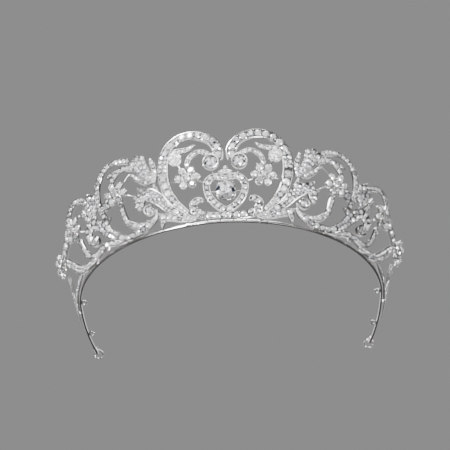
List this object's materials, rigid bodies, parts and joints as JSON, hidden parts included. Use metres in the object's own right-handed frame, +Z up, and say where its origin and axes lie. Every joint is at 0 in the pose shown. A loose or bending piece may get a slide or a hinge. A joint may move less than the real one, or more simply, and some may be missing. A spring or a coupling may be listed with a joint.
{
  "type": "bridal tiara",
  "caption": "Open curved bridal tiara: pierced scrolls, arches and flowers around a central heart, rising from a thin wire band that ends in eyes with free rings.",
  "frame": {"origin": "middle of the overall box in plan, in the plane that the band rests on", "axes": "+X to the right when the tiara is seen from the front, +Y from the front towards the back of the head, +Z up from the band to the crest; the front faces -Y"},
  "size_m": [0.1702, 0.1078, 0.0445],
  "materials": {
    "white_metal": "polished rhodium-coloured plate, bright-cut edges, milgrain and bead-set stones",
    "crystal": "round brilliant-cut clear stones with a bright, slightly cool sparkle"
  },
  "bodies": {
    "tiara": {"heart_frame": "white_metal", "heart_stone": "crystal", "heart_setting": "white_metal", "trefoil_finial": "white_metal", "rail_centre": "white_metal", "crest_scroll_left": "white_metal", "crest_scroll_right": "white_metal", "crest_bezel_left": "white_metal", "crest_bezel_right": "white_metal", "crest_stone_left": "crystal", "crest_stone_right": "crystal", "tendril_left": "white_metal", "tendril_right": "white_metal", "crest_leaf_left": "white_metal", "crest_leaf_right": "white_metal", "base_curl_left": "white_metal", "base_curl_right": "white_metal", "wing_stem_left": "white_metal", "wing_stem_right": "white_metal", "wing_bezel_left": "white_metal", "wing_bezel_right": "white_metal", "wing_stone_left": "crystal", "wing_stone_right": "crystal", "low_leaf_left": "white_metal", "low_leaf_right": "white_metal", "wing_fan_left": "white_metal", "wing_fan_right": "white_metal", "wing_arch_left": "white_metal", "wing_arch_right": "white_metal", "wing_hook_left": "white_metal", "wing_hook_right": "white_metal", "wing_pear_left": "white_metal", "wing_pear_right": "white_metal", "side_stem_left": "white_metal", "side_stem_right": "white_metal", "side_bezel_left": "white_metal", "side_bezel_right": "white_metal", "side_arch_left": "white_metal", "side_arch_right": "white_metal", "side_hook_left": "white_metal", "side_hook_right": "white_metal", "end_stem_left": "white_metal", "end_stem_right": "white_metal", "end_spray_left": "white_metal", "end_spray_right": "white_metal", "crest_flower_left": "white_metal", "crest_flower_right": "white_metal", "wing_flower_left": "white_metal", "wing_flower_right": "white_metal", "side_flower_left": "white_metal", "side_flower_right": "white_metal", "end_flower_left": "white_metal", "end_flower_right": "white_metal", "sleeve_left": "white_metal", "sleeve_right": "white_metal", "rail_left": "white_metal", "rail_right": "white_metal"},
    "end_ring_left": {"end_ring_left": "white_metal"},
    "end_ring_right": {"end_ring_right": "white_metal"}
  },
  "joints": [
    {"name": "end_ring_left_swing", "type": "hinge", "parent": "tiara", "child": "end_ring_left", "pos_m": [-0.06765, 0.04993, 0.00275], "axis": [0.9586, -0.2849, 0], "range_deg": [-95, 210]},
    {"name": "end_ring_right_swing", "type": "hinge", "parent": "tiara", "child": "end_ring_right", "pos_m": [0.06765, 0.04993, 0.00275], "axis": [0.9586, 0.2849, 0], "range_deg": [-95, 210]}
  ]
}
